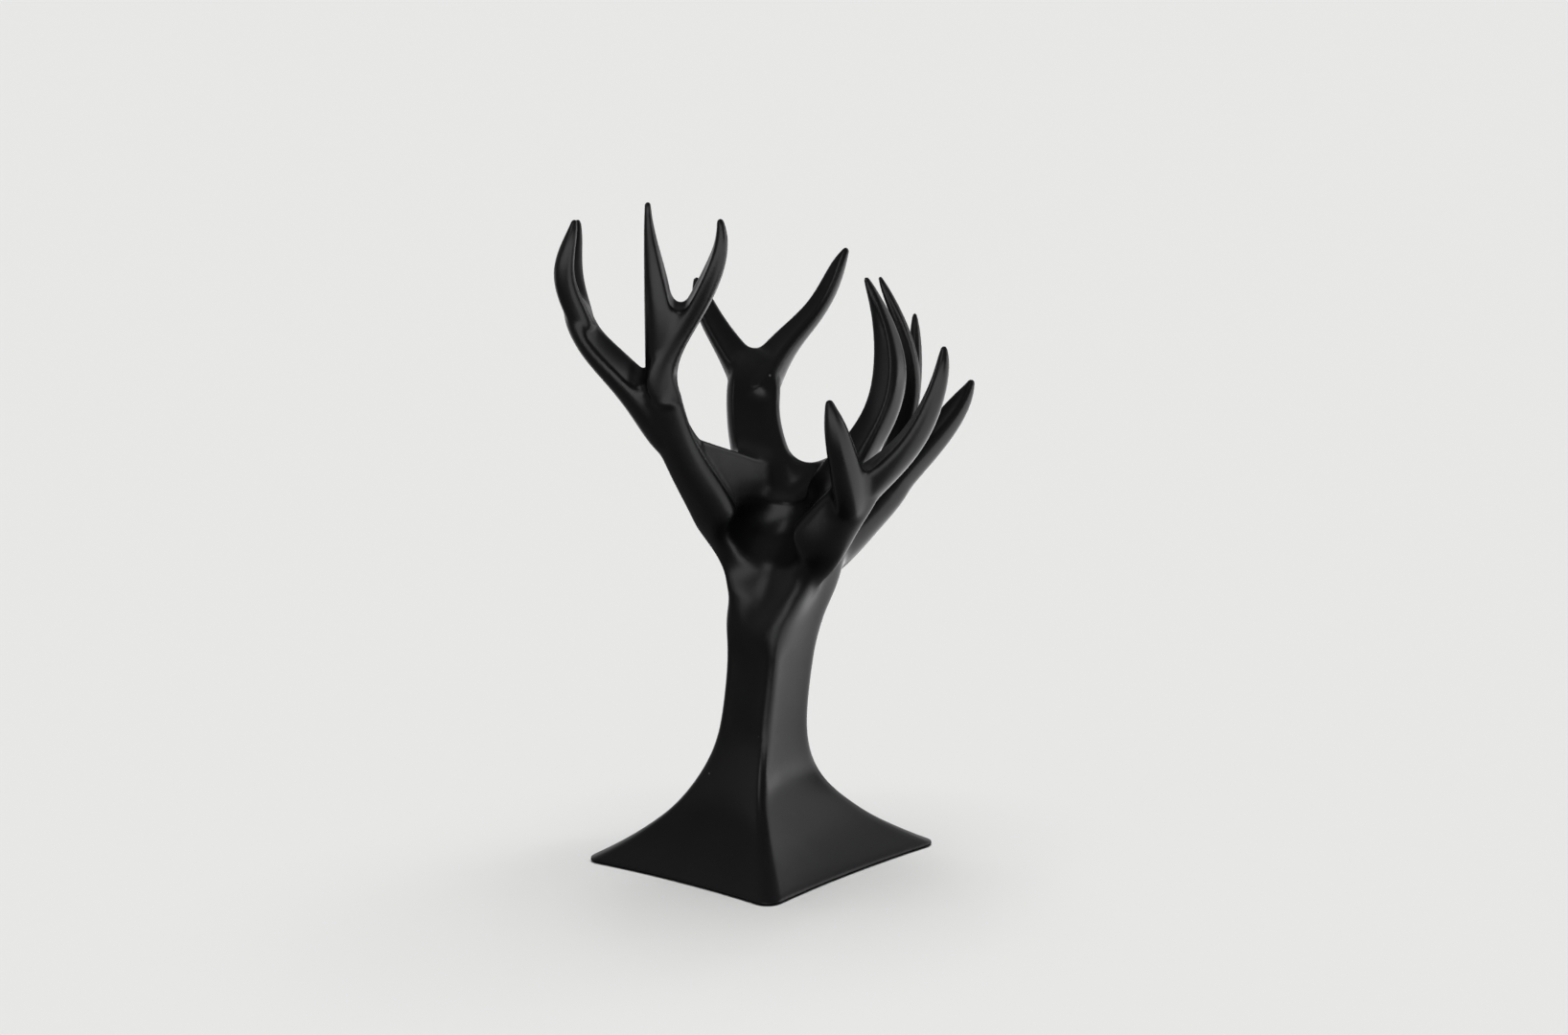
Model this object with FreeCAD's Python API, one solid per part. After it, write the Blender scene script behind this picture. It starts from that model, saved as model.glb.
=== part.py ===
import FreeCAD, Part
import math
import os

# Jewelry stand in the form of a leafless tree: a hollow four-ridged trunk on a flared
# square foot, with four plug-in arms whose tines carry necklaces, bracelets and rings.
# Millimetres, +Z up, +X to the tree's right, -Y to its front.
# The origin is the centre of the foot, on the table.

V = FreeCAD.Vector

# ---- foot ----
FOOT_HALF_DIAGONAL = 57.0      # centre to each corner
FOOT_YAW = 2.0                 # degrees that the foot is turned, seen from above
FOOT_SIDE_HOLLOW = 2.2         # how far each side curves in between two corners
FOOT_EDGE = 0.9                # thickness of the foot's sharp edge
FOOT_ROUNDING = 6.0            # the foot's corners are rounded from this far along its sides
PAD_PROUD = 0.2                # the pad holds the foot's edge this far off the table

# ---- trunk ----
WAIST_HALF_WIDTH = 14.2        # centre to each ridge where the trunk is slimmest
WAIST_HEIGHT = 57.0
WAIST_SIDE_HOLLOW = 0.9
RIDGE_ROUNDING = 3.0           # the trunk's ridges are rounded from this far along its sides
ROUNDED_HEIGHT = 15.0          # below this the rounding grows to the foot's
ROUNDING_CUT = 0.42            # a corner is cut back by this share of its rounding
CORNER_FULLNESS = 0.6          # and lies this share of the way back to the line that cuts it
FLARE_POWER = 3.15             # how quickly the flare opens towards the foot
HUB_HEIGHT = 96.0              # where the ridges part towards the four arms
LEAN_START = 27.0              # the trunk stands upright up to here
LEAN_SLOPE = 0.137             # then leans to its right by this much for each mm of height
TRUNK_SHOULDER = 0.75          # keeps the trunk's sides round
HUB_SHOULDER = 0.5             # and lets the hub's lobes stand out
TRUNK_SWELL = 12.0             # how quickly the ridges spread above the waist

# ---- cavity in the foot, and what closes it ----
WALL = 3.0                     # the cavity keeps this far in and below the flare
CAVITY_HEIGHT = 26.0           # above the foot's edge
PAD_THICKNESS = 1.5
PAD_MARGIN = 3.0               # the pad stops this far inside the plate's corners
PLATE_THICKNESS = 3.0
PLATE_CLEARANCE = 0.25         # between the plate's rim and its recess in the foot
PLATE_SEAT = 3.0               # width of the step, at a corner, that the plate bears on
BALLAST_SIDE = 31.0
BALLAST_THICKNESS = 7.0
PEG_DIAMETER = 5.0             # two pegs on the plate keep the ballast from sliding
PEG_CLEARANCE = 0.2
PEG_SPACING = 20.0

# ---- screws that hold the plate ----
SCREW_RADIUS = 28.0            # centre of the foot to each screw, towards a corner
SCREW_SHANK = 2.9
SCREW_HEAD = 5.2
SCREW_HEAD_HEIGHT = 1.4
SCREW_LENGTH = 7.0
SCREW_SINK = 0.1               # the heads lie this far below the plate's face
SCREW_CLEARANCE = 0.2          # on the diameter of the plate's holes
THREAD_CLEARANCE = 0.1         # on the diameter of the bosses' holes, threads left out
BOSS_DIAMETER = 7.0
BOSS_MARGIN = 1.0              # a boss is this much longer than the screw in it

# ---- arms ----
RIDGE_LIFT = 0.34              # height of a limb's outer ridge as a share of its radius
RIDGE_FULL_RADIUS = 9.0        # limbs thinner than this have a lower ridge
ROUND_RADIUS = 2.6             # and thinner than this they have none
RIDGE_SPAN = 55.0              # degrees on each side of the ridge that it lifts
CORNER_ANGLE = 130.0           # degrees from the ridge to each edge of a limb's hollow face
CORNER_LIFT = 0.06             # the edges stand out by this share of the radius
FACE_DEPTH = 0.56              # from a limb's middle to its hollow face, as a share of its radius
FACE_SHIFT = 0.15              # limbs lean this share of their radius towards that face
FACE_FULL_RADIUS = 3.4         # limbs thinner than this have a rounder face
FACE_END_RADIUS = 1.3          # and from here to the tip they are round
TIP_SWELL = 1.05               # a tip's ball is this much larger than the end it closes
SPIGOT_DIAMETER = 8.0
SPIGOT_LENGTH = 10.0
SPIGOT_FLAT = 1.0              # depth of the flat that keys the spigot
SPIGOT_CLEARANCE = 0.1
SPIGOT_FLOOR = 0.6             # the socket is this much deeper than the spigot is long
SPIGOT_ROOT = 2.0              # the spigot starts this deep inside its arm
SEAM_REACH = 70.0              # half the side of the block that parts an arm from the trunk

# Every limb is the direction in which its hollow face looks, and a row of
# (x, y, z, radius) from its root to its tip, measured from the middle of the hub.
LEFT_STEM = ((0.6, -0.1, 0.75),
             [(-6, 3, -15, 4.0), (-12, 0, 2.5, 5.8), (-19, -5.5, 20, 7.7),
              (-25.5, -11, 34.5, 7.4), (-32, -16, 49.5, 6.6), (-35, -21, 62.5, 6.1),
              (-36, -23.5, 70.5, 5.0), (-35, -25, 75, 2.0)])
LEFT_TALL = ((0.8, -0.2, 0.5),
             [(-35.5, -22, 62.5, 5.6), (-35.5, -26, 80.5, 5.2), (-35.5, -30, 95, 4.8),
              (-37, -33, 114, 2.6), (-37.5, -34, 127, 1.2)])
LEFT_INNER = ((-0.8, -0.2, 0.5),
              [(-34.5, -22, 63.5, 5.3), (-30.5, -28, 83, 4.4), (-23, -33, 95, 3.9),
               (-17.5, -38, 106.5, 3.5), (-15, -41, 115.5, 2.4), (-15, -42, 122, 1.3)])
LEFT_OUTER = ((0.5, -0.6, 0.6),
              [(-28.5, -13, 42, 5.4), (-39.5, -15, 56, 6.5), (-49.5, -17, 70, 5.7),
               (-56.5, -16, 78, 5.1), (-61, -15, 85.5, 4.6), (-63, -15, 92.5, 3.6),
               (-63.5, -15, 96, 1.6)])
LEFT_OUTER_FRONT = ((0.8, 0.5, 0.3),
                    [(-61, -16, 86, 4.0), (-64.5, -20, 97.5, 3.8), (-65, -24, 107.5, 3.2),
                     (-62.5, -26, 116, 2.1), (-61, -26, 121, 1.2)])
LEFT_OUTER_BACK = ((0.5, -0.8, 0.3),
                   [(-60.5, -13, 85, 3.6), (-62, -7, 96.5, 2.8), (-62.5, -2, 105, 2.5),
                    (-61.5, 1, 112, 1.9), (-61, 2, 116.5, 1.2)])

BACK_STEM = ((0.1, -1, 0.3),
             [(2.5, 4, -0.5, 8.2), (0, 12, 17, 9.5), (-5.5, 22, 34.5, 9.2), (-7, 30, 47.5, 8.8),
              (-6.5, 34.5, 57.5, 8.0), (-6.8, 37, 63, 5.0), (-7, 38, 66, 2.0)])
BACK_RIGHT = ((-0.6, -0.6, 0.5),
              [(-5.5, 33, 52.5, 7.4), (2, 38, 63, 5.6), (8, 41, 69.5, 4.5), (13.5, 43, 75, 3.9),
               (18.5, 45, 81.5, 3.5), (23.5, 46, 91.5, 2.6), (26, 46, 96.5, 1.3)])
BACK_LEFT = ((0.4, -0.9, 0.3),
             [(-7.5, 33, 54, 6.8), (-13, 38, 64, 5.1), (-19, 41, 74, 4.0), (-23, 44, 83.5, 2.9),
              (-24, 45, 88.5, 1.3)])

FRONT_STEM = ((-0.5, 0.3, 0.8),
              [(0, 1, -22, 3.2), (3, -2.5, -10, 4.8), (9, -9.8, 5, 8.0), (15, -19, 17, 8.6),
               (21, -24, 25.5, 7.7), (28, -30, 34.5, 5.9), (31, -31.5, 38, 2.5)])
FRONT_SHORT = ((0.7, 0.5, 0.5),
               [(21, -23, 23, 4.4), (22.5, -31, 30, 5.6), (21.5, -37, 38.5, 5.3),
                (19.5, -43, 49.5, 4.5), (18, -46, 58, 3.3), (17, -47, 64, 1.5)])
FRONT_LONG = ((-0.8, -0.1, 0.6),
              [(25.5, -28, 30, 5.8), (35.5, -33, 40.5, 5.3), (45.5, -38, 53.5, 4.4),
               (51.5, -42, 68, 3.3), (53, -43, 75, 2.3), (53.5, -43, 79.5, 1.2)])
FRONT_TALL = ((-0.8, -0.55, 0.3),
              [(8, -3, 9, 7.0), (17, -9, 24.5, 7.5), (25.5, -13, 39, 6.1), (34, -11, 51.5, 5.6),
               (38, -8, 65.5, 5.4), (36.5, -5, 80, 3.7), (33, -4, 90.5, 2.0), (31, -4, 95.5, 1.1)])

RIGHT_STEM = ((-0.5, -0.3, 0.8),
              [(2, 3, -16, 5.0), (8.5, 9, -5, 6.5), (18, 15, 2.5, 7.0), (26.5, 19, 9, 6.4),
               (33, 22, 14.5, 5.9), (40.5, 25, 21.5, 5.0), (44.5, 27, 25.5, 2.5)])
RIGHT_LOW = ((-0.7, -0.5, 0.5),
             [(36.5, 23, 18.5, 5.2), (46, 28, 27.5, 5.3), (56, 32, 37.5, 4.8),
              (63, 34, 46.5, 3.4), (66, 34, 52.5, 1.4)])
RIGHT_FORK = ((-0.3, -0.6, 0.6),
              [(30, 20, 13, 5.2), (37.5, 26, 25, 4.8), (42.5, 29.5, 35, 4.2), (44.5, 30, 41, 2.0)])
RIGHT_OUTER = ((-0.7, -0.6, 0.2),
               [(41, 29, 33.5, 3.7), (45.5, 33, 45, 3.0), (47.5, 36, 57, 2.6), (48, 38, 69, 1.9),
                (48, 38, 75.5, 1.0)])
RIGHT_TALL = ((-0.3, -0.9, 0.1),
              [(40.5, 28, 33, 3.9), (44, 25, 46.5, 3.8), (45, 20, 62, 3.5), (42, 17, 77, 2.4),
               (38, 16, 87.5, 1.6), (36, 16, 92.5, 0.9)])

# The bowl of the crown is a wall that rises from the trunk's front left face. This is its
# rim, from inside the left arm round to inside the front one.
BOWL_RIM = [(-26.5, -11, 46.5), (-21.5, -5, 43.5), (-16.4, 0, 40.2), (-6.2, 8, 34.2),
            (5.1, 13.5, 29.8), (12.6, 10, 32.2), (17, 3.5, 35.5), (21, -3.5, 39.8),
            (25.5, -10.5, 45)]
BOWL_ROOT = (-1.5, -5, 2)      # the wall starts near here, inside the trunk
BOWL_FAN = 0.12                # share of the rim's spread that the wall has at its root
BOWL_FOCUS = (0, -25, 60)      # the wall's thickness lies away from here
RIM_THICKNESS = 3.5
ROOT_THICKNESS = 7.0

# The trunk's ridges where they part: height, then the (x, y) of the left, front, right
# and back ridge from the middle of the hub, then the hollow of the side after each.
HUB_ROWS = [
    (-9, (-18.5, -3), (4, -16.5), (18, 4.5), (-1.5, 15.5), (3.5, 1.8, 2.5, 2.5)),
    (0, (-20.5, -3.5), (8, -18), (21, 8), (-0.8, 17), (6.0, 2.2, 3.5, 3.5)),
    (6, (-21, -3), (11.5, -19.5), (22.5, 10.5), (0, 17.8), (9.0, 2.5, 4.5, 4.5)),
    (11, (-20, -4), (13.5, -19), (23.5, 12.5), (0.5, 18), (11.0, 3.0, 5.5, 5.5)),
]


def share(value, start, end):
    """How far a value has come from start to end, from 0 to 1."""
    return min(1.0, max(0.0, (value - start) / (end - start)))


def edge_level():
    """Top of the foot's sharp edge. The trunk's heights are measured from here."""
    return PAD_PROUD + FOOT_EDGE


def trunk_centre(height):
    return V(max(0.0, height - LEAN_START) * LEAN_SLOPE, 0, height + edge_level())


def hub_point(x, y, z):
    return trunk_centre(HUB_HEIGHT) + V(x, y, z)


def ridge_radius(height):
    """Centre-to-ridge distance of the trunk below the hub."""
    flare = max(0.0, 1.0 - height / WAIST_HEIGHT) ** FLARE_POWER
    swell = max(0.0, height / WAIST_HEIGHT - 1.0) ** 2
    foot_growth = FOOT_HALF_DIAGONAL - WAIST_HALF_WIDTH
    return WAIST_HALF_WIDTH + foot_growth * flare + TRUNK_SWELL * swell


def side_hollow(height):
    """How far a trunk side curves in below the hub."""
    flare = share(height, WAIST_HEIGHT, 0.0) ** 2
    return WAIST_SIDE_HOLLOW + (FOOT_SIDE_HOLLOW - WAIST_SIDE_HOLLOW) * flare


def four_sided(centre, corners, hollows, shoulder, rounding):
    """Closed level wire with four rounded corners and sides that curve in.

    The shoulder is the share of a side's hollow that is left a quarter of the way along.
    """
    tips = []
    for corner in corners:
        outward = corner - centre
        outward.normalize()
        tips.append(corner + outward * (rounding * ROUNDING_CUT))
    sides = []
    for i in range(4):
        start = tips[i]
        chord = tips[(i + 1) % 4] - start
        inward = centre - (start + chord * 0.5)
        inward.normalize()
        near = rounding / chord.Length
        points = []
        for place, depth in ((near, 4 * near * shoulder), (0.25, shoulder), (0.5, 1.0),
                             (0.75, shoulder), (1.0 - near, 4 * near * shoulder)):
            points.append(start + chord * place + inward * (hollows[i] * depth))
        sides.append(points)
    edges = []
    for i in range(4):
        side = Part.BSplineCurve()
        side.interpolate(Points=sides[i])
        edges.append(side.toShape())
        ends = (sides[i][-1], sides[(i + 1) % 4][0])
        tip = tips[(i + 1) % 4]
        crown = tip + ((ends[0] + ends[1]) * 0.5 - tip) * CORNER_FULLNESS
        edges.append(Part.Arc(ends[0], crown, ends[1]).toShape())
    return Part.Wire(edges)


def ridge_rounding(height):
    """How far along the trunk's sides its ridges are rounded."""
    growth = share(height, ROUNDED_HEIGHT, 0.0)
    return RIDGE_ROUNDING + (FOOT_ROUNDING - RIDGE_ROUNDING) * growth


def trunk_section(height, inset=0.0):
    """Level section below the hub, from the left ridge round to the back one."""
    centre = trunk_centre(height)
    radius = ridge_radius(height) - inset
    corners = []
    for i in range(4):
        angle = math.radians(180.0 + FOOT_YAW + 90.0 * i)
        corners.append(centre + V(radius * math.cos(angle), radius * math.sin(angle), 0))
    hollows = [side_hollow(height)] * 4
    return four_sided(centre, corners, hollows, TRUNK_SHOULDER, ridge_rounding(height))


def hub_section(row):
    height, left, front, right, back, hollows = row
    corners = [hub_point(x, y, height) for x, y in (left, front, right, back)]
    return four_sided(hub_point(0, 0, height), corners, hollows, HUB_SHOULDER, RIDGE_ROUNDING)


def limb_section(centre, along, face, radius):
    """Wire square to a limb: round, with a low ridge outside and a hollow face opposite it."""
    inward = face - along * face.dot(along)
    inward.normalize()
    across = along.cross(inward)
    lift = RIDGE_LIFT * share(radius, ROUND_RADIUS, RIDGE_FULL_RADIUS)
    flat = share(radius, FACE_END_RADIUS, FACE_FULL_RADIUS)
    middle = centre + inward * (radius * FACE_SHIFT * flat)
    sides = []
    for turn in (1, -1):
        points = []
        for angle in (0, RIDGE_SPAN * 0.4, RIDGE_SPAN, 90, CORNER_ANGLE):
            reach = radius * (1.0 + lift * (1.0 - share(angle, 0, RIDGE_SPAN)) ** 2)
            if angle == CORNER_ANGLE:
                reach *= 1.0 + CORNER_LIFT * flat
            theta = math.radians(angle)
            offset = across * (reach * math.sin(theta) * turn)
            points.append(middle - inward * (reach * math.cos(theta)) + offset)
        sides.append(points)
    slope = inward * (2.0 * lift * radius / math.radians(RIDGE_SPAN))
    ridge_tangent = across * (radius * (1.0 + lift))
    theta = math.radians(CORNER_ANGLE)
    rise = inward * (radius * math.sin(theta))
    fall = across * (radius * math.cos(theta))
    left = Part.BSplineCurve()
    left.interpolate(Points=sides[0], InitialTangent=ridge_tangent + slope, FinalTangent=rise + fall)
    hollow = Part.BSplineCurve()
    depth = radius * (1.0 + (FACE_DEPTH - 1.0) * flat)
    hollow.interpolate(Points=[sides[0][-1], middle + inward * depth, sides[1][-1]])
    right = Part.BSplineCurve()
    right.interpolate(Points=sides[1][::-1], InitialTangent=fall - rise, FinalTangent=ridge_tangent - slope)
    return Part.Wire([left.toShape(), hollow.toShape(), right.toShape()])


def limb(form):
    """Tapering limb lofted through sections along its row of points."""
    face, rows = form
    points = [hub_point(x, y, z) for x, y, z, _ in rows]
    wires = []
    for i, point in enumerate(points):
        before = points[max(0, i - 1)]
        after = points[min(len(points) - 1, i + 1)]
        along = after - before
        along.normalize()
        wires.append(limb_section(point, along, V(*face), rows[i][3]))
    return Part.makeLoft(wires, True, False)


def tine(form):
    """Limb with a rounded tip."""
    x, y, z, radius = form[1][-1]
    tip = Part.makeSphere(radius * TIP_SWELL, hub_point(x, y, z))
    return limb(form).fuse(tip)


def rib(rim):
    """Section through the bowl's wall, from its root inside the trunk up to the rim."""
    top = hub_point(*rim)
    x, y, z = BOWL_ROOT
    root = hub_point(x + rim[0] * BOWL_FAN, y + rim[1] * BOWL_FAN, z)
    rise = top - root
    rise.normalize()
    away = (top + root) * 0.5 - hub_point(*BOWL_FOCUS)
    back = away - rise * away.dot(rise)
    back.normalize()
    edge = top + back * RIM_THICKNESS
    crest = (top + edge) * 0.5 + rise * (RIM_THICKNESS * 0.4)
    heel = root + back * ROOT_THICKNESS
    return Part.Wire([Part.makeLine(root, top), Part.Arc(top, crest, edge).toShape(),
                      Part.makeLine(edge, heel), Part.makeLine(heel, root)])


def bowl_wall():
    return Part.makeLoft([rib(rim) for rim in BOWL_RIM], True, False)


# ---- trunk and arms before they are parted ----
STATIONS = [0.0, 3.0, 7.0, 12.0, 18.0, 25.0, 33.0, 43.0, 54.0, 66.0, 77.0]


def trunk_form():
    """The foot's edge, the flare and the ridged trunk up into the hub."""
    wires = [trunk_section(h) for h in STATIONS] + [hub_section(row) for row in HUB_ROWS]
    flare = Part.makeLoft(wires, True, False)
    edge = Part.Face(trunk_section(0.0)).extrude(V(0, 0, -FOOT_EDGE))
    return flare.fuse(edge)


def seam_block(point, normal):
    """Block on the arm's side of a seam."""
    block = Part.makeBox(2 * SEAM_REACH, 2 * SEAM_REACH, 2 * SEAM_REACH)
    block.translate(V(-SEAM_REACH, -SEAM_REACH, 0))
    turn = FreeCAD.Rotation(V(0, 0, 1), normal)
    block.Placement = FreeCAD.Placement(point, turn).multiply(block.Placement)
    return block


def fused(solids):
    whole = solids[0]
    for solid in solids[1:]:
        whole = whole.fuse(solid)
    return whole


def largest(shape):
    return max(shape.Solids, key=lambda solid: solid.Volume)


# ---- arms ----
class Arm:
    """One moulded arm: its limbs and tines, its seam, and whether the bowl's wall runs into it."""

    def __init__(self, name, seam, towards, limbs, tines, meets_wall):
        self.name = name
        self.seam = hub_point(*seam)
        self.normal = V(*towards)
        self.normal.normalize()
        self.members = [limb(form) for form in limbs] + [tine(form) for form in tines]
        self.meets_wall = meets_wall

    def block(self):
        return seam_block(self.seam, self.normal)

    def spigot(self, clearance, floor):
        """Round peg with one flat, from inside the arm down into the trunk."""
        radius = SPIGOT_DIAMETER / 2 + clearance
        length = SPIGOT_LENGTH + floor
        start = self.seam + self.normal * SPIGOT_ROOT
        peg = Part.makeCylinder(radius, length + SPIGOT_ROOT, start, self.normal * -1)
        flat = Part.makeBox(2 * radius, 2 * radius, 3 * length)
        flat.translate(V(-radius, SPIGOT_DIAMETER / 2 - SPIGOT_FLAT + clearance, -2 * length))
        turn = FreeCAD.Rotation(V(0, 0, 1), self.normal)
        flat.Placement = FreeCAD.Placement(self.seam, turn).multiply(flat.Placement)
        return peg.cut(flat)

    def solid(self):
        whole = fused(self.members).common(self.block())
        if self.meets_wall:
            whole = whole.fuse(largest(bowl_wall().common(self.block())))
        return whole.fuse(self.spigot(0.0, 0.0))


LEFT = Arm("arm_left", (-27.5, -13, 40.5), (-13.5, -9, 28), [LEFT_STEM, LEFT_OUTER],
           [LEFT_TALL, LEFT_INNER, LEFT_OUTER_FRONT, LEFT_OUTER_BACK], False)
BACK = Arm("arm_back", (-6, 25, 39.5), (-6.5, 22, 40.5), [BACK_STEM], [BACK_RIGHT, BACK_LEFT], False)
FRONT = Arm("arm_front", (18, -22, 21.5), (12, -11, 19.5), [FRONT_STEM],
            [FRONT_SHORT, FRONT_LONG, FRONT_TALL], True)
RIGHT = Arm("arm_right", (24, 18, 7.2), (15, 7, 12), [RIGHT_STEM, RIGHT_FORK],
            [RIGHT_LOW, RIGHT_OUTER, RIGHT_TALL], False)
ARMS = [LEFT, BACK, FRONT, RIGHT]


# ---- trunk ----
def plate_level():
    """Underside of the plate."""
    return PAD_THICKNESS


def seat_level():
    """Top of the plate, which bears on the foot."""
    return PAD_THICKNESS + PLATE_THICKNESS


def cavity_radius(height):
    return ridge_radius(height + WALL) - WALL


def foot_outline(half_diagonal):
    """Closed wire of the foot's shape at a smaller size, on the table."""
    corners = []
    for i in range(4):
        angle = math.radians(180.0 + FOOT_YAW + 90.0 * i)
        corners.append(V(half_diagonal * math.cos(angle), half_diagonal * math.sin(angle), 0))
    hollow = FOOT_SIDE_HOLLOW * half_diagonal / FOOT_HALF_DIAGONAL
    rounded = FOOT_ROUNDING * half_diagonal / FOOT_HALF_DIAGONAL
    return four_sided(V(0, 0, 0), corners, [hollow] * 4, TRUNK_SHOULDER, rounded)


def slab(half_diagonal, bottom, thickness):
    face = Part.Face(foot_outline(half_diagonal))
    face.translate(V(0, 0, bottom))
    return face.extrude(V(0, 0, thickness))


def plate_half_diagonal():
    return cavity_radius(seat_level() - edge_level()) + PLATE_SEAT


def cavity():
    """Hollow of the foot, with the recess for the plate below it."""
    start = seat_level() - edge_level()
    wires = []
    for i in range(5):
        height = start + (CAVITY_HEIGHT - start) * i / 4
        wires.append(trunk_section(height + WALL, WALL))
    hollow = Part.makeLoft(wires, True, False)
    hollow.translate(V(0, 0, -WALL))
    recess = slab(plate_half_diagonal() + PLATE_CLEARANCE, 0.0, seat_level())
    return hollow.fuse(recess)


def screw_axes():
    """Points on the table under the four screws."""
    points = []
    for i in range(4):
        angle = math.radians(FOOT_YAW + 90.0 * i)
        points.append(V(SCREW_RADIUS * math.cos(angle), SCREW_RADIUS * math.sin(angle), 0))
    return points


def column(point, diameter, bottom, height):
    return Part.makeCylinder(diameter / 2, height, point + V(0, 0, bottom))


def head_level():
    """Underside of the screws' heads, which faces the pad."""
    return plate_level() + SCREW_SINK


def trunk():
    members = [trunk_form()]
    wall = bowl_wall()
    for arm in (LEFT, FRONT):
        wall = largest(wall.cut(arm.block()))
    for arm in ARMS:
        block = arm.block()
        for member in arm.members:
            rest = member.cut(block)
            if rest.Solids:
                members.append(rest)
    body = fused(members + [wall])
    body = body.cut(cavity())
    thread_top = head_level() + SCREW_HEAD_HEIGHT + SCREW_LENGTH
    for point in screw_axes():
        boss = column(point, BOSS_DIAMETER, seat_level(), thread_top + BOSS_MARGIN - seat_level())
        body = body.fuse(boss)
    for point in screw_axes():
        depth = thread_top - seat_level() + THREAD_CLEARANCE
        body = body.cut(column(point, SCREW_SHANK + THREAD_CLEARANCE, seat_level(), depth))
    for arm in ARMS:
        body = body.cut(arm.spigot(SPIGOT_CLEARANCE, SPIGOT_FLOOR))
    return body


# ---- foot ----
def base_plate():
    plate = slab(plate_half_diagonal(), plate_level(), PLATE_THICKNESS)
    sink = SCREW_HEAD_HEIGHT + SCREW_SINK
    for point in screw_axes():
        plate = plate.cut(column(point, SCREW_SHANK + SCREW_CLEARANCE, plate_level(), PLATE_THICKNESS))
        plate = plate.cut(column(point, SCREW_HEAD + 2 * SCREW_CLEARANCE, plate_level(), sink))
    for point in peg_axes():
        plate = plate.fuse(column(point, PEG_DIAMETER, seat_level(), BALLAST_THICKNESS))
    return plate


def peg_axes():
    offset = PEG_SPACING / 2
    turn = math.radians(FOOT_YAW)
    return [V(side * offset * math.cos(turn), side * offset * math.sin(turn), 0) for side in (-1, 1)]


def base_ballast():
    half = BALLAST_SIDE / 2
    block = Part.makeBox(BALLAST_SIDE, BALLAST_SIDE, BALLAST_THICKNESS, V(-half, -half, seat_level()))
    block.rotate(V(0, 0, 0), V(0, 0, 1), 45.0 + FOOT_YAW)
    for point in peg_axes():
        block = block.cut(column(point, PEG_DIAMETER + PEG_CLEARANCE, seat_level(), BALLAST_THICKNESS))
    return block


def base_screws():
    screws = []
    for point in screw_axes():
        head = column(point, SCREW_HEAD, head_level(), SCREW_HEAD_HEIGHT)
        shank = column(point, SCREW_SHANK, head_level(), SCREW_HEAD_HEIGHT + SCREW_LENGTH)
        screws.append(head.fuse(shank))
    return Part.makeCompound(screws)


def base_pad():
    return slab(plate_half_diagonal() - PAD_MARGIN, 0.0, PAD_THICKNESS)


def main():
    os.makedirs("parts", exist_ok=True)
    nodes = {arm.name: arm.solid() for arm in ARMS}
    nodes["trunk"] = trunk()
    nodes["base_plate"] = base_plate()
    nodes["base_ballast"] = base_ballast()
    nodes["base_screws"] = base_screws()
    nodes["base_pad"] = base_pad()
    for name, shape in nodes.items():
        shape = shape.removeSplitter() if name.startswith("base") else shape
        shape.exportStep("parts/%s.step" % name)
        print(name, shape.isValid(), len(shape.Solids), round(shape.Volume), len(shape.Faces))


main()
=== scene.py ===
import math

import bmesh
import bpy
import numpy as np
import openvdb as vdb
from mathutils import Matrix, Vector

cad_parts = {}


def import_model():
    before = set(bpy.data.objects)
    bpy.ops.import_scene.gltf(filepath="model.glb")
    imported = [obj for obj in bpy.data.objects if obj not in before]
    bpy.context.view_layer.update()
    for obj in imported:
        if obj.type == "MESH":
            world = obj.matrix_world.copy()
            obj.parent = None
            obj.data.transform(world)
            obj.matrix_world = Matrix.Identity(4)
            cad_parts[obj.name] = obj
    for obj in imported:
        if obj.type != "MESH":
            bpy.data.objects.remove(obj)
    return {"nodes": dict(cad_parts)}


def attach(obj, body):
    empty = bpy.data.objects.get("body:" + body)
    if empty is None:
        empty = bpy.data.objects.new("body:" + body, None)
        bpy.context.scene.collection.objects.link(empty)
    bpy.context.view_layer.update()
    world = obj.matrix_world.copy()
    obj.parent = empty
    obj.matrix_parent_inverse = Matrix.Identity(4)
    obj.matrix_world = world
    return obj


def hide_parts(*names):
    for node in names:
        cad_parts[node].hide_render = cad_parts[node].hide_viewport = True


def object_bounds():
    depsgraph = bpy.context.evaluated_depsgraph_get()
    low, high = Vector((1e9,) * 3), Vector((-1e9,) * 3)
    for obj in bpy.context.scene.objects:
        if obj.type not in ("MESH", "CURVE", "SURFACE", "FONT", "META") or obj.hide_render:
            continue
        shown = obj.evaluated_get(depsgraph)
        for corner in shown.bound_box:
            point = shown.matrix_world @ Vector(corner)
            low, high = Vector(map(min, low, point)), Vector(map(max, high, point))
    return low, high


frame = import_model()
cad_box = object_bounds()

BODY = "root"
MM = 0.001

# ---- skin: the mouldings are grown together as the real ones are, with hollows blended ----
MOULDINGS = ("trunk", "arm_left", "arm_back", "arm_front", "arm_right")
VOXEL = 0.5 * MM
CROTCH_RADIUS = 3.0 * MM       # fillet where two tines part
BOWL_RADIUS = 9.0 * MM         # fillet in the crown's bowl
BOWL_CENTRE = Vector((0.0115, 0.002, 0.128))
BOWL_REACH = (0.024, 0.046)    # the bowl's fillet fades out between these distances
BLEND_FLOOR = (0.036, 0.050)   # below this the trunk keeps its own shape
FOOT_LEVELS = (0.005, 0.012)   # the foot keeps its sharp edge below these heights
FINE_BLUR = 0.6 * MM           # softens the rest as a mould does
HUB_BLUR = 1.5 * MM            # the hub is smoother
HUB_GROWTH = 0.6 * MM          # and grown by this, which makes up for the ridges it loses
HUB_LEVELS = (0.066, 0.080, 0.108, 0.124)   # heights between which the hub's share comes and goes
LIP_BLUR = 3.0 * MM            # the bowl's lip, and the front face under it, are smoother still
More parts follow.
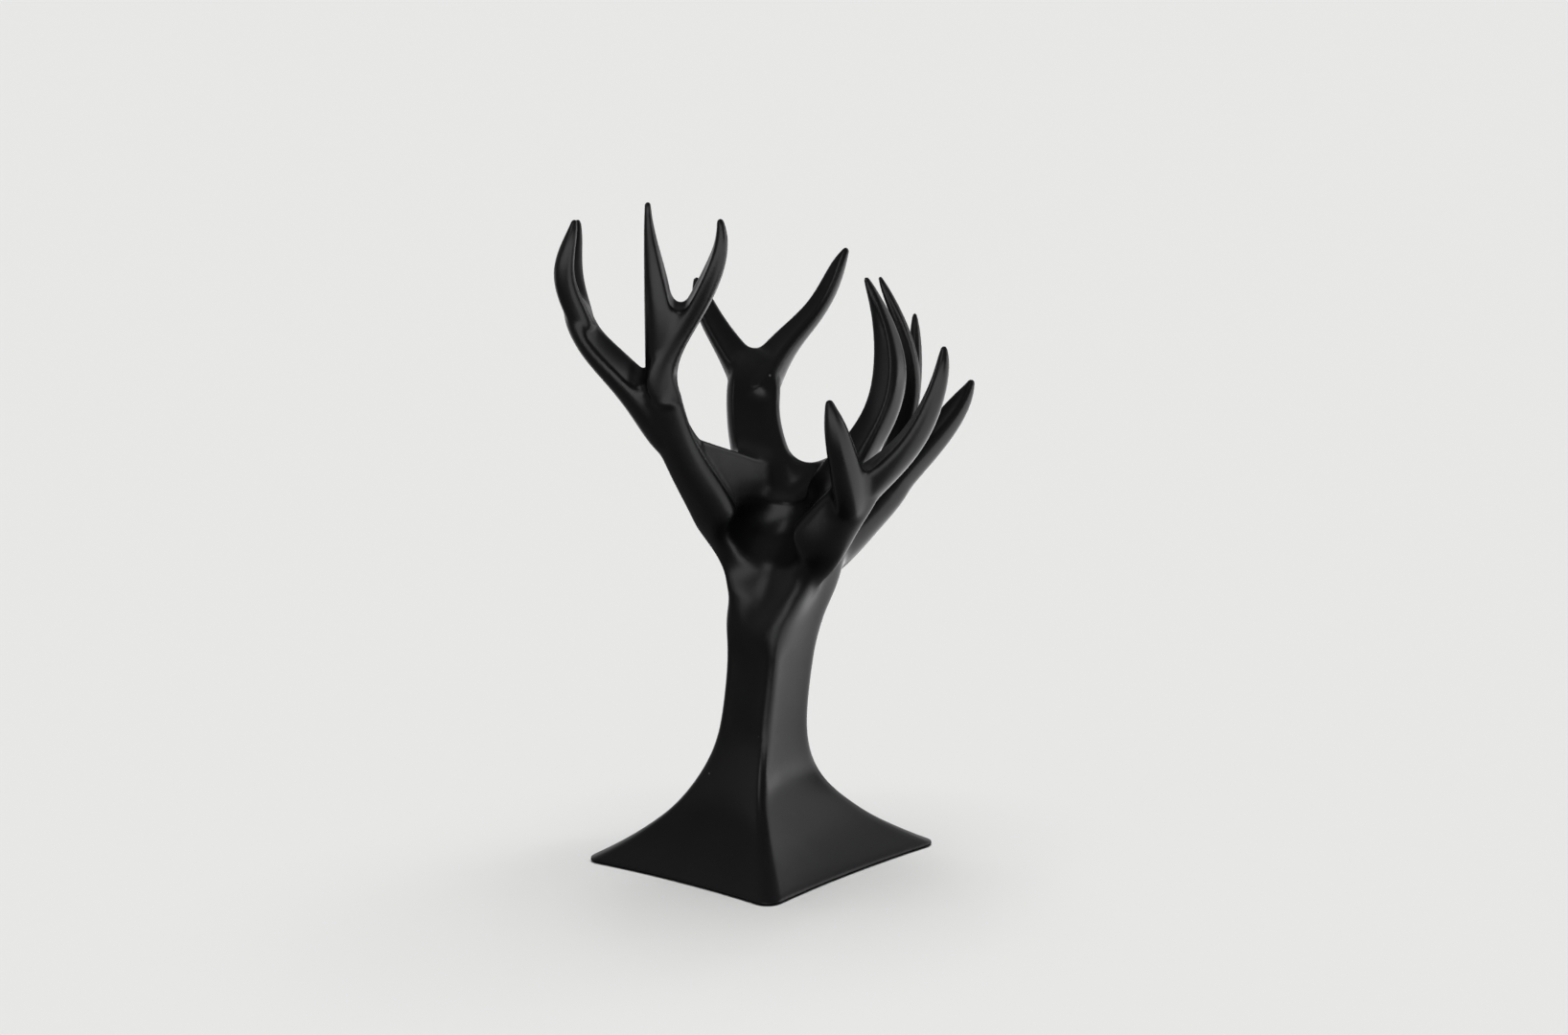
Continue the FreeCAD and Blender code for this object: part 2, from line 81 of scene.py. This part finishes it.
LIP_CENTRE = Vector((0.005, -0.008, 0.106))
LIP_STRETCH = Vector((1.5, 1.0, 1.0))
LIP_REACH = (0.009, 0.018)     # the lip's share fades out between these distances
FRONT_CENTRE = Vector((0.002, -0.012, 0.090))   # the face under the lip
FRONT_STRETCH = Vector((1.5, 1.0, 1.2))
FRONT_REACH = (0.009, 0.018)
FRONT_GROWTH = 0.9 * MM        # more growth, as this face is blurred more than the hub
SPOUT_RADIUS = 11.0 * MM       # the lip is hollowed by a spout that runs down the trunk's face
SPOUT_BED = Vector((0.0085, -0.004, 0.103))
SPOUT_OUTWARD = Vector((-0.33, -0.62, 0.71))
SPOUT_DOWN = Vector((-0.35, -0.62, -0.70))


def triangles(obj):
    """The vertices and triangles of a mesh object, as arrays."""
    mesh = obj.data
    mesh.calc_loop_triangles()
    points = np.zeros(len(mesh.vertices) * 3, np.float32)
    mesh.vertices.foreach_get("co", points)
    corners = np.zeros(len(mesh.loop_triangles) * 3, np.int32)
    mesh.loop_triangles.foreach_get("vertices", corners)
    return points.reshape(-1, 3), corners.reshape(-1, 3)


class Field:
    """Distances to surfaces, on one grid that holds the whole crown."""

    def __init__(self, low, high, reach):
        self.band = math.ceil(reach / VOXEL) + 3
        pad = self.band + 1
        self.first = tuple(int(math.floor(c / VOXEL)) - pad for c in low)
        last = tuple(int(math.ceil(c / VOXEL)) + pad for c in high)
        self.shape = tuple(b - a for a, b in zip(self.first, last))
        self.transform = vdb.createLinearTransform(voxelSize=VOXEL)

    def distances(self, points, polygons, quads=None):
        """Signed distances to a closed surface, negative inside it."""
        grid = vdb.FloatGrid.createLevelSetFromPolygons(
            points, triangles=polygons, quads=quads, transform=self.transform, halfWidth=self.band
        )
        values = np.full(self.shape, self.band * VOXEL, np.float32)
        grid.copyToArray(values, ijk=self.first)
        return values

    def surface(self, values, level=0.0):
        """The surface on which the distances have one value."""
        grid = vdb.FloatGrid(self.band * VOXEL)
        grid.transform = self.transform
        grid.copyFromArray(values, ijk=self.first)
        return grid.convertToPolygons(isovalue=level)

    def closed(self, values, radius):
        """The distances once every hollow tighter than the radius is filled up to it."""
        points, corners, quads = self.surface(values, radius)
        return self.distances(points, corners, quads) + radius

    def place(self, axis):
        """The coordinates of the grid's points along one axis, shaped to broadcast."""
        line = (np.arange(self.shape[axis]) + self.first[axis]) * VOXEL
        return line.astype(np.float32).reshape([-1 if a == axis else 1 for a in range(3)])


def fade(value, start, end):
    """0 up to start, 1 from end on, and an even curve between them."""
    t = np.clip((value - start) / (end - start), 0, 1)
    return t * t * (3 - 2 * t)


def blurred(values, radius):
    """Distances averaged round each point, as by a bell curve of that radius."""
    steps = math.ceil(3 * radius / VOXEL)
    weights = [math.exp(-0.5 * (i * VOXEL / radius) ** 2) for i in range(steps + 1)]
    total = weights[0] + 2 * sum(weights[1:])
    for axis in range(3):
        mixed = values * (weights[0] / total)
        for i in range(1, steps + 1):
            both = np.roll(values, i, axis) + np.roll(values, -i, axis)
            mixed += both * (weights[i] / total)
        values = mixed
    return values


def nearness(place, centre, stretch, reach):
    """1 near a centre, falling to 0 between the two distances of reach."""
    squared = sum(((a - c) / wide) ** 2 for a, c, wide in zip(place, centre, stretch))
    return 1 - fade(np.sqrt(squared), *reach)


def skin():
    """The surface of all the mouldings as one body, with its hollows blended."""
    low, high = (Vector(c) for c in cad_box)
    field = Field(low, high, BOWL_RADIUS)
    union = None
    for name in MOULDINGS:
        points, corners = triangles(frame["nodes"][name])
        values = field.distances(points, corners)
        union = values if union is None else np.minimum(union, values)
    crotches = field.closed(union, CROTCH_RADIUS)
    bowl = field.closed(union, BOWL_RADIUS)
    place = [field.place(a) for a in range(3)]
    x, y, z = place
    in_bowl = nearness(place, BOWL_CENTRE, (1, 1, 1), BOWL_REACH)
    crown = bowl * in_bowl + crotches * (1 - in_bowl)
    high_up = fade(z, *BLEND_FLOOR)
    values = union * (1 - high_up) + crown * high_up

    at_lip = nearness(place, LIP_CENTRE, LIP_STRETCH, LIP_REACH)
    at_front = nearness(place, FRONT_CENTRE, FRONT_STRETCH, FRONT_REACH)
    spouted = np.maximum(values, spout(x, y, z))
    values = spouted * at_lip + values * (1 - at_lip)
    at_hub = fade(z, *HUB_LEVELS[:2]) * (1 - fade(z, *HUB_LEVELS[2:]))
    above_foot = fade(z, *FOOT_LEVELS)
    fine = blurred(values, FINE_BLUR) * above_foot + values * (1 - above_foot)
    smooth = blurred(values, HUB_BLUR) - HUB_GROWTH
    smoother = blurred(values, LIP_BLUR)
    values = fine * (1 - at_hub) + smooth * at_hub
    values = (smoother - FRONT_GROWTH) * at_front + values * (1 - at_front)
    values = smoother * at_lip + values * (1 - at_lip)
    return field.surface(values.astype(np.float32))


def spout(x, y, z):
    """How deep each point lies inside the cylinder that hollows the lip."""
    down = SPOUT_DOWN.normalized()
    start = SPOUT_BED + SPOUT_OUTWARD.normalized() * SPOUT_RADIUS
    dx, dy, dz = x - start.x, y - start.y, z - start.z
    along = dx * down.x + dy * down.y + dz * down.z
    squared = dx * dx + dy * dy + dz * dz - along * along
    return SPOUT_RADIUS - np.sqrt(np.maximum(squared, 0))


# ---- pieces: the skin is parted at the arms' seams ----
HUB = Vector((0.009453, 0.0, 0.0971))
# name: a point on the seam, the way the arm grows, how far out the cut reaches, and the end
# of one of its tines, all from the hub in mm
SEAMS = {
    "arm_left": ((-27.5, -13, 40.5), (-13.5, -9, 28), 22, (-37.5, -34, 127)),
    "arm_back": ((-6, 25, 39.5), (-6.5, 22, 40.5), 17, (26, 46, 96.5)),
    "arm_front": ((18, -22, 21.5), (12, -11, 19.5), 36, (53.5, -43, 79.5)),
    "arm_right": ((24, 18, 7.2), (15, 7, 12), 15, (48, 38, 75.5)),
}
SNAP = 0.01 * MM               # points this close to a seam count as on it


def from_hub(point):
    """A place, from its millimetres from the middle of the hub."""
    return HUB + Vector(point) * MM


def cut(body, point, normal, reach):
    """Parts the mesh along a plane, near a point of it only."""
    near = [f for f in body.faces if (f.calc_center_median() - point).length < reach]
    edges = {e for f in near for e in f.edges}
    verts = {v for f in near for v in f.verts}
    made = bmesh.ops.bisect_plane(
        body, geom=near + list(edges) + list(verts), dist=SNAP, plane_co=point, plane_no=normal
    )
    seam = [e for e in made["geom_cut"] if isinstance(e, bmesh.types.BMEdge)]
    bmesh.ops.split_edges(body, edges=seam)


def island(body, place):
    """The faces joined to the vertex nearest to a place."""
    start = min(body.verts, key=lambda v: (v.co - place).length_squared)
    seen = {start}
    queue = [start]
    while queue:
        for edge in queue.pop().link_edges:
            for other in edge.verts:
                if other not in seen:
                    seen.add(other)
                    queue.append(other)
    return {f for v in seen for f in v.link_faces}


def piece(name, body, faces):
    """An object from some of the faces, with its seam closed."""
    copy = bmesh.new()
    twins = {}
    for face in faces:
        corners = []
        for v in face.verts:
            if v not in twins:
                twins[v] = copy.verts.new(v.co)
            corners.append(twins[v])
        copy.faces.new(corners).smooth = True
    rims = [e for e in copy.edges if e.is_boundary]
    made = bmesh.ops.holes_fill(copy, edges=rims, sides=0)
    for face in made["faces"]:
        face.smooth = False
        for edge in face.edges:
            edge.smooth = False
    bmesh.ops.recalc_face_normals(copy, faces=copy.faces)
    mesh = bpy.data.meshes.new(name)
    copy.to_mesh(mesh)
    copy.free()
    obj = bpy.data.objects.new(name, mesh)
    bpy.context.scene.collection.objects.link(obj)
    return obj


def pieces():
    """One object for each moulding, each standing for its own node."""
    points, corners, quads = skin()
    mesh = bpy.data.meshes.new("skin")
    mesh.from_pydata(points.tolist(), [], corners.tolist() + quads.tolist())
    mesh.flip_normals()
    body = bmesh.new()
    body.from_mesh(mesh)
    bpy.data.meshes.remove(mesh)
    for point, towards, reach, _ in SEAMS.values():
        cut(body, from_hub(point), Vector(towards).normalized(), reach * MM)
    rest = set(body.faces)
    made = {}
    for name, (_, _, _, tip) in SEAMS.items():
        faces = island(body, from_hub(tip))
        made[name] = piece(name + "_skin", body, faces)
        rest -= faces
    made["trunk"] = piece("trunk_skin", body, rest)
    body.free()
    for name, obj in made.items():
        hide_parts(name)
        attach(obj, BODY)
    return made


moulded = pieces()

# ---- camera ----
CAMERA_PLACE = Vector((0.0, -1.3326, 0.4291))
CAMERA_PITCH = math.radians(13.303)
CAMERA_YAW = math.radians(0.489)
CAMERA_ROLL = math.radians(2.0)
CAMERA_LENS = 96.3
SENSOR_WIDTH = 36


def camera():
    """The camera, turned by its yaw, tipped down by its pitch, then rolled."""
    data = bpy.data.cameras.new("camera")
    data.lens = CAMERA_LENS
    data.sensor_width = SENSOR_WIDTH
    data.sensor_fit = "HORIZONTAL"
    data.clip_start = 0.05
    forward = Vector((
        math.sin(CAMERA_YAW) * math.cos(CAMERA_PITCH),
        math.cos(CAMERA_YAW) * math.cos(CAMERA_PITCH),
        -math.sin(CAMERA_PITCH),
    ))
    right = Vector((math.cos(CAMERA_YAW), -math.sin(CAMERA_YAW), 0))
    up = right.cross(forward)
    rolled_right = right * math.cos(CAMERA_ROLL) - up * math.sin(CAMERA_ROLL)
    rolled_up = right * math.sin(CAMERA_ROLL) + up * math.cos(CAMERA_ROLL)
    turn = Matrix((rolled_right, rolled_up, -forward)).transposed().to_4x4()
    obj = bpy.data.objects.new("camera", data)
    obj.matrix_world = Matrix.Translation(CAMERA_PLACE) @ turn
    bpy.context.scene.collection.objects.link(obj)
    bpy.context.scene.camera = obj


# ---- materials ----
BLACK_TONES = ((0.0058, 0.0058, 0.0064), (0.0088, 0.0088, 0.0096))
BLACK_POLISH = (0.27, 0.36)    # roughness, from the best polished places to the dullest
BLACK_SPECULAR = 0.42
NOISE_SPAN = (0.3, 0.7)        # most of a noise's values lie between these
DUST_COLOUR = (0.20, 0.20, 0.21)
DUST_CELLS = 120.0             # places for a speck, to the metre
DUST_SIZE = 0.055              # a speck's radius as a share of its place
DUST_SHARE = 0.16              # of the places that have one
DUST_DULLNESS = 0.3
DUST_SLOPES = (0.1, 0.35)      # dust lies on faces that look up by this much or more
PLATE_TONES = ((0.018, 0.018, 0.019), (0.032, 0.032, 0.034))
STEEL_TONES = ((0.42, 0.41, 0.40), (0.56, 0.55, 0.53))
ZINC_TONES = ((0.60, 0.60, 0.62), (0.74, 0.74, 0.75))
FELT_TONES = ((0.020, 0.020, 0.022), (0.060, 0.060, 0.064))


class Surface:
    """A material, its shader, and short ways to wire procedural detail into it."""

    def __init__(self, name, roughness, metallic=0.0):
        self.material = bpy.data.materials.new(name)
        self.material.use_nodes = True
        self.tree = self.material.node_tree
        self.shader = self.tree.nodes["Principled BSDF"]
        self.shader.inputs["Roughness"].default_value = roughness
        self.shader.inputs["Metallic"].default_value = metallic
        self.place = self.node("ShaderNodeTexCoord").outputs["Object"]

    def node(self, kind, **settings):
        """A new node, with values for its sockets or its own properties."""
        node = self.tree.nodes.new(kind)
        for key, value in settings.items():
            if key in node.inputs:
                node.inputs[key].default_value = value
            else:
                setattr(node, key, value)
        return node

    def join(self, source, target):
        """Links one node's output to another's input."""
        self.tree.links.new(source, target)

    def feed(self, source, name):
        """Joins a value to the shader's socket of that name."""
        self.join(source, self.shader.inputs[name])

    def noise(self, scale, detail=3.0, stretch=(1, 1, 1)):
        """Noise from 0 to 1, with its features this many to the metre."""
        mapping = self.node("ShaderNodeMapping", Scale=stretch)
        self.join(self.place, mapping.inputs["Vector"])
        noise = self.node("ShaderNodeTexNoise", Scale=scale, Detail=detail)
        self.join(mapping.outputs["Vector"], noise.inputs["Vector"])
        return noise.outputs["Fac"]

    def ranged(self, value, low, high, start=0.0, end=1.0):
        """The value as it goes from start to end, mapped to low and high."""
        ramp = self.node("ShaderNodeMapRange")
        ends = (("From Min", start), ("From Max", end), ("To Min", low), ("To Max", high))
        for key, number in ends:
            ramp.inputs[key].default_value = number
        self.join(value, ramp.inputs["Value"])
        return ramp.outputs["Result"]

    def maths(self, operation, a, b):
        """The result for two values, of which the second may be a number."""
        node = self.node("ShaderNodeMath", operation=operation)
        for socket, value in zip(node.inputs, (a, b)):
            if isinstance(value, float):
                socket.default_value = value
            else:
                self.join(value, socket)
        return node.outputs["Value"]

    def mixed(self, factor, first, second):
        """A colour between two, by a factor."""
        mix = self.node("ShaderNodeMix", data_type="RGBA")
        self.join(factor, mix.inputs["Factor"])
        for socket, colour in ((mix.inputs[6], first), (mix.inputs[7], second)):
            if isinstance(colour, tuple):
                socket.default_value = (*colour, 1)
            else:
                self.join(colour, socket)
        return mix.outputs[2]

    def bump(self, height, depth, strength):
        """Relief this deep in metres."""
        bump = self.node("ShaderNodeBump", Strength=strength, Distance=depth)
        self.join(height, bump.inputs["Height"])
        self.feed(bump.outputs["Normal"], "Normal")

    def dust(self):
        """1 in a few scattered specks on faces that look up, 0 elsewhere."""
        cells = self.node("ShaderNodeTexVoronoi", Scale=DUST_CELLS)
        self.join(self.place, cells.inputs["Vector"])
        near = self.ranged(cells.outputs["Distance"], 1.0, 0.0, DUST_SIZE / 2, DUST_SIZE)
        chance = self.node("ShaderNodeSeparateColor")
        self.join(cells.outputs["Color"], chance.inputs["Color"])
        some = self.maths("LESS_THAN", chance.outputs["Red"], DUST_SHARE)
        normal = self.node("ShaderNodeSeparateXYZ")
        self.join(self.node("ShaderNodeNewGeometry").outputs["Normal"], normal.inputs["Vector"])
        upward = self.ranged(normal.outputs["Z"], 0.0, 1.0, *DUST_SLOPES)
        return self.maths("MULTIPLY", self.maths("MULTIPLY", near, some), upward)


def black_plastic():
    """Satin plastic, cloudy in tone and polish, with a little dust on it."""
    surface = Surface("black_plastic", roughness=0.36)
    surface.shader.inputs["Specular IOR Level"].default_value = BLACK_SPECULAR
    tone = surface.mixed(surface.noise(28.0), *BLACK_TONES)
    dust = surface.dust()
    surface.feed(surface.mixed(dust, tone, DUST_COLOUR), "Base Color")
    polish = surface.ranged(surface.noise(60.0), *BLACK_POLISH, *NOISE_SPAN)
    dulled = surface.maths("MULTIPLY", dust, DUST_DULLNESS)
    surface.feed(surface.maths("ADD", polish, dulled), "Roughness")
    surface.bump(surface.noise(1500.0, 2.0), 0.02 * MM, 0.5)
    return surface.material


def plate_plastic():
    """Matt plastic with a fine moulded grain."""
    surface = Surface("plate_plastic", roughness=0.55)
    grain = surface.noise(2200.0, 4.0)
    surface.feed(surface.mixed(grain, *PLATE_TONES), "Base Color")
    surface.bump(grain, 0.06 * MM, 0.6)
    return surface.material


def steel():
    """Plain steel, brushed along the block."""
    surface = Surface("steel", roughness=0.38, metallic=1.0)
    brushed = surface.noise(500.0, 3.0, (1, 12, 1))
    surface.feed(surface.mixed(brushed, *STEEL_TONES), "Base Color")
    surface.feed(surface.ranged(brushed, 0.3, 0.5), "Roughness")
    surface.bump(brushed, 0.02 * MM, 0.5)
    return surface.material


def screw_steel():
    """Zinc plated steel."""
    surface = Surface("screw_steel", roughness=0.3, metallic=1.0)
    cloud = surface.noise(900.0)
    surface.feed(surface.mixed(cloud, *ZINC_TONES), "Base Color")
    surface.feed(surface.ranged(cloud, 0.22, 0.38), "Roughness")
    surface.bump(surface.noise(3000.0, 2.0), 0.01 * MM, 0.4)
    return surface.material


def felt():
    """Black felt with loose fibres."""
    surface = Surface("felt", roughness=0.95)
    surface.shader.inputs["Sheen Weight"].default_value = 0.4
    fibres = surface.noise(1400.0, 6.0, (1, 3, 1))
    surface.feed(surface.mixed(fibres, *FELT_TONES), "Base Color")
    surface.bump(fibres, 0.3 * MM, 0.8)
    return surface.material


def dress(obj, material):
    """Gives an object that material alone."""
    obj.data.materials.clear()
    obj.data.materials.append(material)


skin_material = black_plastic()
for obj in moulded.values():
    dress(obj, skin_material)
FINISHES = {
    "base_plate": plate_plastic,
    "base_ballast": steel,
    "base_screws": screw_steel,
    "base_pad": felt,
}
for name, finish in FINISHES.items():
    dress(frame["nodes"][name], finish())

# ---- studio ----
FLOOR_HALF = 9.0
FLOOR_LEVEL = -0.05 * MM       # just under the pad, so that the two never lie in one plane
FLOOR_SEEN = (0.80, 0.80, 0.792)   # the floor's colour as the camera sees it
FLOOR_GIVEN = (0.12, 0.12, 0.12)   # and as the stand sees it
WORLD_SEEN = 0.80              # the world's brightness as the camera sees it
WORLD_GIVEN = 0.11             # and as everything else does
SUN_STRENGTH = 2.9
SUN_ANGLE = math.radians(50)
SUN_AIM = Vector((-0.15, -0.20, -0.97))
TABLE_LEVEL = 0.004            # the cards that lie on the table are just above it
TRUNK = (0, 0, 0.12)           # where most of the raised cards aim
# name: place, target, width, height and power of each card
CARDS = {
    "card_front": ((-0.30, -1.25, 0.13), (-0.30, 0, 0.13), 1.8, 0.26, 2.4),
    "card_table_front": ((-0.20, -0.74, TABLE_LEVEL), (-0.20, -0.74, 1), 1.4, 0.95, 6.6),
    "card_right": ((1.30, 0.10, 0.12), (0, 0.10, 0.12), 1.2, 0.24, 2.4),
    "card_table_right": ((0.66, 0.05, TABLE_LEVEL), (0.66, 0.05, 1), 1.15, 0.90, 4.4),
    "card_table_back": ((0.0, 0.62, TABLE_LEVEL), (0.0, 0.62, 1), 1.5, 0.80, 2.6),
    "card_back_right": ((0.85, 0.30, 0.52), TRUNK, 0.9, 0.6, 1.6),
    "card_behind": ((0.0, 1.30, 0.36), TRUNK, 2.4, 0.7, 2.8),
    "card_left": ((-1.30, 0.30, 0.36), TRUNK, 1.4, 0.6, 0.5),
    "card_high": ((-0.80, -0.90, 0.80), (0, 0, 0.16), 0.7, 0.7, 2.0),
}


def floor():
    """A pale floor without gloss, which takes the stand's shadow."""
    h, z = FLOOR_HALF, FLOOR_LEVEL
    mesh = bpy.data.meshes.new("floor")
    mesh.from_pydata([(-h, -h, z), (h, -h, z), (h, h, z), (-h, h, z)], [], [(0, 1, 2, 3)])
    obj = bpy.data.objects.new("floor", mesh)
    bpy.context.scene.collection.objects.link(obj)
    surface = Surface("floor", roughness=0.8)
    seen = surface.node("ShaderNodeLightPath").outputs["Is Camera Ray"]
    surface.feed(surface.mixed(seen, FLOOR_GIVEN, FLOOR_SEEN), "Base Color")
    surface.shader.inputs["Specular IOR Level"].default_value = 0.0
    mesh.materials.append(surface.material)


def card(name, place, target, width, height, power):
    """A bright card that shows only in the gloss of what it faces."""
    data = bpy.data.lights.new(name, "AREA")
    data.shape = "RECTANGLE"
    data.size = width
    data.size_y = height
    data.energy = power
    obj = bpy.data.objects.new(name, data)
    obj.location = place
    aim = Vector(target) - Vector(place)
    obj.rotation_euler = aim.to_track_quat("-Z", "Y").to_euler()
    obj.visible_camera = False
    obj.visible_diffuse = False
    bpy.context.scene.collection.objects.link(obj)


def overhead():
    """An even light from far above, so that the floor is equally pale everywhere."""
    data = bpy.data.lights.new("overhead", "SUN")
    data.energy = SUN_STRENGTH
    data.angle = SUN_ANGLE
    obj = bpy.data.objects.new("overhead", data)
    obj.rotation_euler = SUN_AIM.to_track_quat("-Z", "Y").to_euler()
    obj.visible_glossy = False
    bpy.context.scene.collection.objects.link(obj)


def world():
    """An even surround, paler to the camera than to what it lights."""
    sky = bpy.data.worlds.new("world")
    sky.use_nodes = True
    tree = sky.node_tree
    background = tree.nodes["Background"]
    background.inputs["Color"].default_value = (1, 1, 1, 1)
    seen = tree.nodes.new("ShaderNodeLightPath").outputs["Is Camera Ray"]
    strength = tree.nodes.new("ShaderNodeMapRange")
    strength.inputs["To Min"].default_value = WORLD_GIVEN
    strength.inputs["To Max"].default_value = WORLD_SEEN
    tree.links.new(seen, strength.inputs["Value"])
    tree.links.new(strength.outputs["Result"], background.inputs["Strength"])
    bpy.context.scene.world = sky


camera()
floor()
overhead()
for name, settings in CARDS.items():
    card(name, *settings)
world()
bpy.context.scene.view_settings.view_transform = "Standard"
